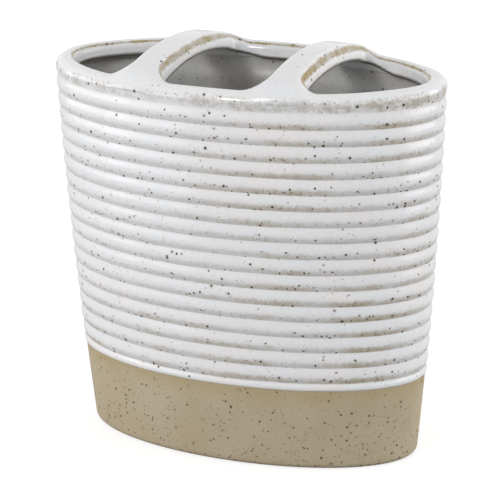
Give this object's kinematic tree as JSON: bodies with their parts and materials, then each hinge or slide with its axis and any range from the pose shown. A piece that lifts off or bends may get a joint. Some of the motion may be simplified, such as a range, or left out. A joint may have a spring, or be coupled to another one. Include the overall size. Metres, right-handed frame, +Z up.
{
  "type": "toothbrush holder",
  "caption": "Oval ribbed stoneware toothbrush holder in speckled white glaze, with a bare clay foot band and arched straps that divide its mouth.",
  "frame": {"origin": "centre of the oval on the plane the holder stands on", "axes": "+Z up, X along the oval's length, Y through its depth, front facing -Y"},
  "size_m": [0.1142, 0.0604, 0.1131],
  "materials": {
    "stoneware": "bare fired clay, matte, brown iron specks",
    "white_glaze": "glossy white, dark specks, tan where it thins over edges",
    "liner_glaze": "glossy white, dark specks"
  },
  "bodies": {
    "root": {"clay_body": "stoneware", "outer_glaze": "white_glaze", "liner_glaze": "liner_glaze", "rim_collar": "white_glaze", "left_bridge": "white_glaze", "right_bridge": "white_glaze"}
  },
  "joints": []
}
